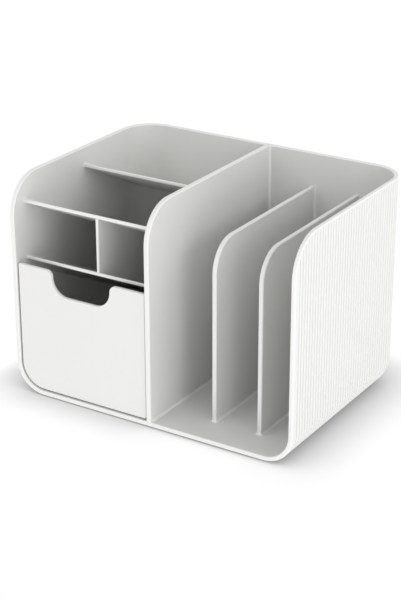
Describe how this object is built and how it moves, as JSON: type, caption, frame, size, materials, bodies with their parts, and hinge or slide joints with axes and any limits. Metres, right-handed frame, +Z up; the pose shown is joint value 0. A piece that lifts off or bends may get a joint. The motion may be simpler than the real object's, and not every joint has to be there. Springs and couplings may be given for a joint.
{
  "type": "desk organizer with drawer",
  "caption": "Open-fronted desk organizer with a ribbed rounded case, upright file pockets, sloping shelves, two cubbies and a sliding drawer with a finger notch.",
  "frame": {"origin": "on the table, under the middle of the case", "axes": "+Z up, front with the drawer and pocket openings towards -Y, +X to the right seen from the front"},
  "size_m": [0.25, 0.18, 0.1777],
  "materials": {
    "case_plastic": "fine satin moulded, white",
    "drawer_plastic": "fine satin moulded, white",
    "slide_plastic": "smooth low-friction plastic, off-white",
    "foot_rubber": "matt soft rubber, grey"
  },
  "bodies": {
    "case": {"case_shell": "case_plastic", "centre_divider": "case_plastic", "file_divider_1": "case_plastic", "file_divider_2": "case_plastic", "drawer_roof": "case_plastic", "middle_shelf": "case_plastic", "upper_shelf": "case_plastic", "cubby_divider": "case_plastic", "closing_stop": "case_plastic", "opening_stop": "case_plastic", "runner_left": "slide_plastic", "runner_right": "slide_plastic", "foot_front_left": "foot_rubber", "foot_front_right": "foot_rubber", "foot_back_left": "foot_rubber", "foot_back_right": "foot_rubber"},
    "drawer": {"drawer_front": "drawer_plastic", "drawer_tray": "drawer_plastic"}
  },
  "joints": [
    {"name": "drawer_slide", "type": "slide", "parent": "case", "child": "drawer", "axis": [0, -1, 0], "range_m": [0, 0.1257]}
  ]
}
